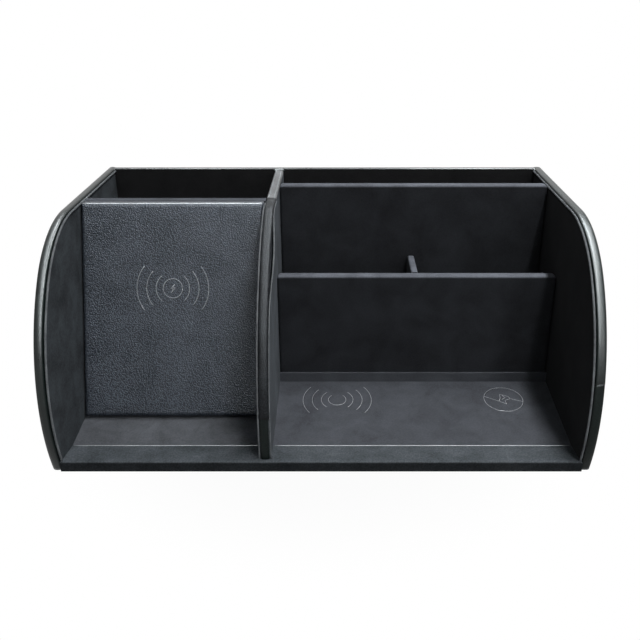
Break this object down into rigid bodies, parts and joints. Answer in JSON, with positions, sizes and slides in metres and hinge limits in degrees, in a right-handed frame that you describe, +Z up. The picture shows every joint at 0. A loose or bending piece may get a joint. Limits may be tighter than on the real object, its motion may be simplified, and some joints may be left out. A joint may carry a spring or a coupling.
{
  "type": "charging station organizer",
  "caption": "Desk organizer with a leaning wireless-charging phone rest, a sloping charging deck, a pen compartment and upright pockets between bowed side walls.",
  "frame": {"origin": "on the desk surface, under the middle of the body's width and depth", "axes": "+X to the user's right, +Y to the back panel, +Z up"},
  "size_m": [0.3422, 0.2014, 0.1495],
  "materials": {
    "leather_black": "smooth faux leather, semi-gloss",
    "leather_charcoal": "pebbled faux leather, satin",
    "suede_lining": "short-nap suede-like lining, matte",
    "backrest_suede": "board wrapped in dark suede-like lining, matte",
    "core_board": "raw fibreboard",
    "base_sheet": "thin felt-backed sheet",
    "foot_rubber": "matte rubber",
    "pad_plastic": "moulded plastic, hidden",
    "coil_copper": "enamelled copper winding, hidden",
    "ferrite_plate": "sintered ferrite, hidden",
    "circuit_board": "glass-fibre circuit board, hidden",
    "shield_steel": "tinned shielding can, hidden",
    "socket_steel": "formed steel shell",
    "inlet_plastic": "moulded black plastic"
  },
  "bodies": {
    "root": {"back_board": "core_board", "back_cover": "leather_black", "back_edge_band": "leather_black", "back_lining_left": "suede_lining", "back_lining_right": "suede_lining", "backrest_batten": "core_board", "backrest_board": "backrest_suede", "backrest_coil": "coil_copper", "backrest_ferrite": "ferrite_plate", "base_board": "core_board", "bottom_sheet": "base_sheet", "centre_divider_board": "core_board", "centre_foot_band": "leather_black", "centre_front_band": "leather_black", "centre_lining_left": "suede_lining", "centre_lining_right": "suede_lining", "centre_top_band": "leather_black", "charging_deck": "core_board", "cross_divider_board": "core_board", "cross_divider_sleeve": "suede_lining", "deck_batten": "core_board", "deck_coil": "coil_copper", "deck_cover": "leather_charcoal", "deck_ferrite": "ferrite_plate", "driver_board": "circuit_board", "driver_can": "shield_steel", "earbud_coil": "coil_copper", "earbud_ferrite": "ferrite_plate", "foot_front_left": "foot_rubber", "foot_front_right": "foot_rubber", "foot_rear_left": "foot_rubber", "foot_rear_right": "foot_rubber", "front_lip_core": "core_board", "front_lip_cover": "leather_black", "inlet_bezel": "inlet_plastic", "inlet_socket": "socket_steel", "inlet_tongue": "inlet_plastic", "left_edge_band": "leather_black", "left_floor": "leather_charcoal", "left_wall_board": "core_board", "left_wall_cover": "leather_black", "left_wall_lining": "suede_lining", "low_divider_board": "core_board", "low_divider_sleeve": "suede_lining", "pen_floor": "suede_lining", "phone_pad_core": "pad_plastic", "phone_pad_cover": "leather_charcoal", "pocket_floor": "suede_lining", "rear_batten_left": "core_board", "rear_batten_right": "core_board", "right_lower_band": "leather_black", "right_upper_band": "leather_black", "right_wall_board": "core_board", "right_wall_cover": "leather_black", "right_wall_lining": "suede_lining", "skirting_strip": "leather_black", "tall_divider_board": "core_board", "tall_divider_sleeve": "suede_lining"}
  },
  "joints": []
}
